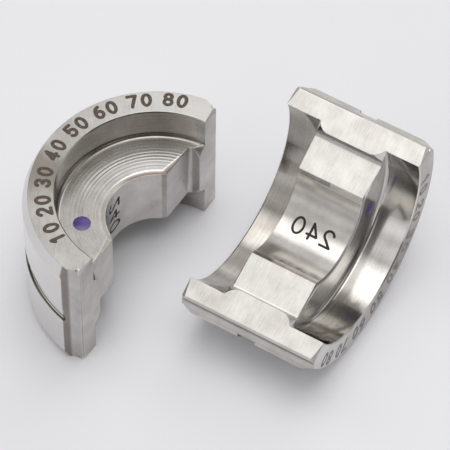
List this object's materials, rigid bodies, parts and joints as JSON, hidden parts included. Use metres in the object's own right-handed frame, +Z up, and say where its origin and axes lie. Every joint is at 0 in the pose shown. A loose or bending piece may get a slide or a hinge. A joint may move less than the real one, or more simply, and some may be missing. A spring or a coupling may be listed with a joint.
{
  "type": "crimping die",
  "caption": "Pair of half-round steel crimping dies with a bored nest in a central web, counterbored sides, a retaining groove round the back and a recessed colour-code dot.",
  "frame": {"origin": "bottom centre of the pair's bounding box, on the surface that both halves rest on", "axes": "+Z up; +X along the longest side of the pair's box, from the half that stands on its side face to the half that lies on its round back; +Y away from the viewer"},
  "size_m": [0.0784, 0.0538, 0.0331],
  "materials": {
    "die_steel": "satin, machined",
    "colour_code_paint": "glossy enamel"
  },
  "bodies": {
    "standing_half": {"standing_die_half": "die_steel", "standing_colour_dot": "colour_code_paint"},
    "lying_half": {"lying_die_half": "die_steel", "lying_colour_dot": "colour_code_paint"}
  },
  "joints": [
    {"name": "press_stroke", "type": "slide", "parent": "standing_half", "child": "lying_half", "axis": [-0.1969, -0.3356, 0.9212], "range_m": [0, 0.042]}
  ]
}
